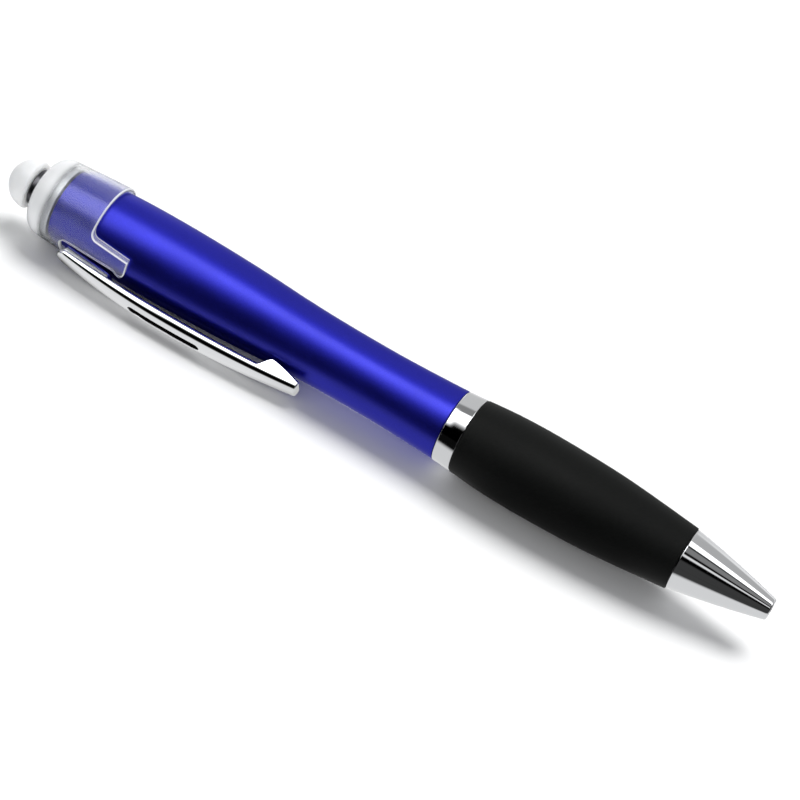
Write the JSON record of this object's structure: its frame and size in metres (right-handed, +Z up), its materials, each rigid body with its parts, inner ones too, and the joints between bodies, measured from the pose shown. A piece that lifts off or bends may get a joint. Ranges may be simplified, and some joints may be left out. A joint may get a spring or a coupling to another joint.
{
  "type": "stylus ballpoint pen",
  "caption": "Twist-action ballpoint pen with a waisted blue barrel, black rubber grip, clear end cap, sprung chrome clip and a soft stylus dome at the rear.",
  "frame": {"origin": "middle of the pen's box, on the table that the pen lies on", "axes": "+X along the pen's axis towards the writing end, +Z up; the pen has rolled onto its clip, which points towards -Y and down"},
  "size_m": [0.138, 0.0164, 0.0148],
  "materials": {
    "chrome_plate": "polished",
    "black_rubber": "matte",
    "blue_lacquer": "satin metallic lacquer",
    "clear_plastic": "clear, slightly milky",
    "silicone": "translucent white",
    "dark_metal": "dark nickel",
    "steel": "bright",
    "brass_tip": "turned",
    "white_acetal": "moulded",
    "black_acetal": "moulded",
    "tube_plastic": "extruded",
    "ink": "wet paste",
    "grease": "wet paste"
  },
  "bodies": {
    "front_section": {"nose_cone": "chrome_plate", "rubber_grip": "black_rubber", "center_band": "chrome_plate", "grip_core": "black_acetal", "guide_tube": "white_acetal", "retaining_ring": "steel", "return_spring": "steel"},
    "rear_section": {"upper_barrel": "blue_lacquer", "cam_sleeve": "white_acetal", "end_plug": "chrome_plate", "clear_cap": "clear_plastic", "stylus_post": "dark_metal", "stylus_dome": "silicone"},
    "writing_unit": {"cam_follower": "black_acetal", "follower_pin": "steel", "refill_tube": "tube_plastic", "refill_tip": "brass_tip", "ink_column": "ink", "refill_plug": "grease"},
    "ball": {"writing_ball": "steel"},
    "clip_bar": {"clip": "chrome_plate"}
  },
  "joints": [
    {"name": "barrel_twist", "type": "hinge", "parent": "front_section", "child": "rear_section", "pos_m": [0, 0.0009, 0.00754], "axis": [1, 0, 0], "range_deg": [0, 180]},
    {"name": "refill_slide", "type": "slide", "parent": "front_section", "child": "writing_unit", "axis": [1, 0, 0], "range_m": [0, 0.0045], "deforming": ["return_spring"]},
    {"name": "clip_flex", "type": "hinge", "parent": "rear_section", "child": "clip_bar", "pos_m": [-0.053, -0.00521, 0.00302], "axis": [0, 0.5948, -0.8039], "range_deg": [0, 4], "stiffness_Nm_per_rad": 2},
    {"name": "ball_roll", "type": "hinge", "parent": "writing_unit", "child": "ball", "pos_m": [0.067, 0.0009, 0.00754], "axis": [0, 1, 0], "continuous": true}
  ],
  "couplings": [
    {"joint": "barrel_twist", "follows": "refill_slide", "rad_per_m": 698.13}
  ]
}
